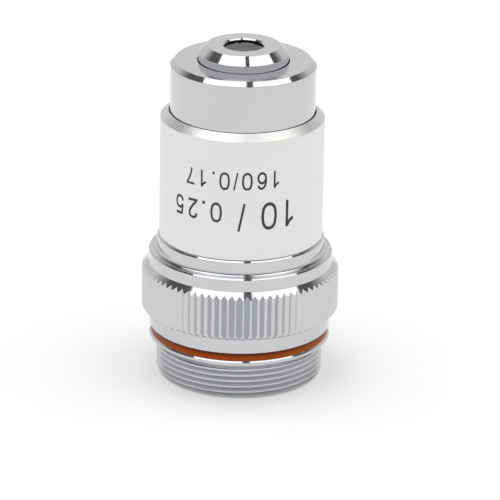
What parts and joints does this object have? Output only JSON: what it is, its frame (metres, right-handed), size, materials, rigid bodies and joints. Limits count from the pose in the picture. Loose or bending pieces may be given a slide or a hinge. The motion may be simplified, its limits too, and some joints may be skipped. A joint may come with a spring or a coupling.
{
  "type": "microscope objective",
  "caption": "Finite-tube microscope objective: chromed threaded body with knurled grip and orange colour ring, satin sleeve with figures, stepped front cap and recessed front lens.",
  "frame": {"origin": "centre of the mounting shoulder, the face that a nosepiece clamps on, which is 45 mm from the specimen when in focus", "axes": "+Z along the optical axis from the mounting thread to the front lens; the middle of the engraved figures faces -Y"},
  "size_m": [0.024, 0.024, 0.0418],
  "materials": {
    "chrome_plate": "polished",
    "satin_sleeve": "satin",
    "orange_enamel": "gloss enamel",
    "blackened_brass": "matt black oxide",
    "black_spacer": "matt black anodised",
    "shim_brass": "rolled",
    "coated_glass": "polished, single-layer coating",
    "plain_glass": "polished"
  },
  "bodies": {
    "root": {"mount_body": "chrome_plate", "colour_band": "orange_enamel", "outer_sleeve": "satin_sleeve", "front_cap": "chrome_plate", "front_cell": "chrome_plate", "lens_tube": "blackened_brass", "front_flint_lens": "coated_glass", "front_crown_lens": "plain_glass", "front_lens_ring": "blackened_brass", "spacer_tube": "black_spacer", "rear_cell": "blackened_brass", "rear_flint_lens": "plain_glass", "rear_crown_lens": "coated_glass", "rear_lens_ring": "blackened_brass", "aperture_stop": "blackened_brass", "parfocal_shim": "shim_brass", "lock_ring": "blackened_brass"}
  },
  "joints": []
}
